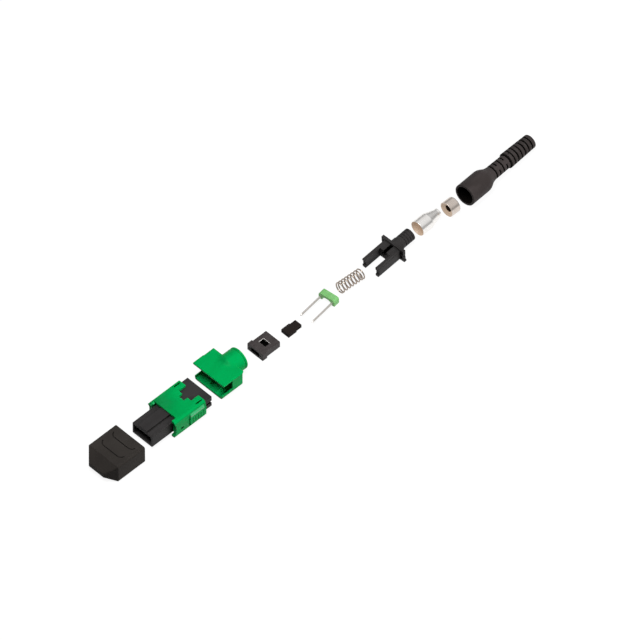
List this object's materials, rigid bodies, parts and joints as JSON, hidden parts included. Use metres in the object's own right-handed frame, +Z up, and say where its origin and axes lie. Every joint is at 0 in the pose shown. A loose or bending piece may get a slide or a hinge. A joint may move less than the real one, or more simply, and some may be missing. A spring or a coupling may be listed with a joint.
{
  "type": "mpo fibre connector",
  "caption": "Multi-fibre push-pull connector taken apart in a row: dust cap, keyed plug with sliding sleeve, hood, ferrule, pins, spring, push, crimp parts and strain relief.",
  "frame": {"origin": "on the floor, under the middle of the row's bounding box", "axes": "+X along the row from the dust cap to the strain relief, +Y to the left, +Z up"},
  "size_m": [0.1946, 0.0146, 0.0083],
  "materials": {
    "cap_plastic": "matte",
    "black_plastic": "satin",
    "green_plastic": "satin",
    "ferrule_resin": "satin",
    "black_rubber": "matte",
    "light_green_plastic": "satin",
    "pin_steel": "ground",
    "spring_steel": "bright",
    "bright_metal": "bright"
  },
  "bodies": {
    "plug": {"inner_housing": "black_plastic", "dust_cap": "cap_plastic", "sleeve_spring_left": "spring_steel", "sleeve_spring_right": "spring_steel", "rear_hood": "green_plastic", "mt_ferrule": "ferrule_resin", "ferrule_boot": "black_rubber", "pin_clamp": "light_green_plastic", "guide_pin_left": "pin_steel", "guide_pin_right": "pin_steel", "main_spring": "spring_steel", "spring_push": "black_plastic", "crimp_tube": "bright_metal", "crimp_ring": "bright_metal", "strain_relief": "black_rubber"},
    "sleeve": {"release_sleeve": "green_plastic"}
  },
  "joints": [
    {"name": "sleeve_release", "type": "slide", "parent": "plug", "child": "sleeve", "axis": [1, 0, 0], "range_m": [0, 0.0015], "stiffness_N_per_m": 400, "springref_m": -0.002, "deforming": ["sleeve_spring_left", "sleeve_spring_right"]}
  ]
}
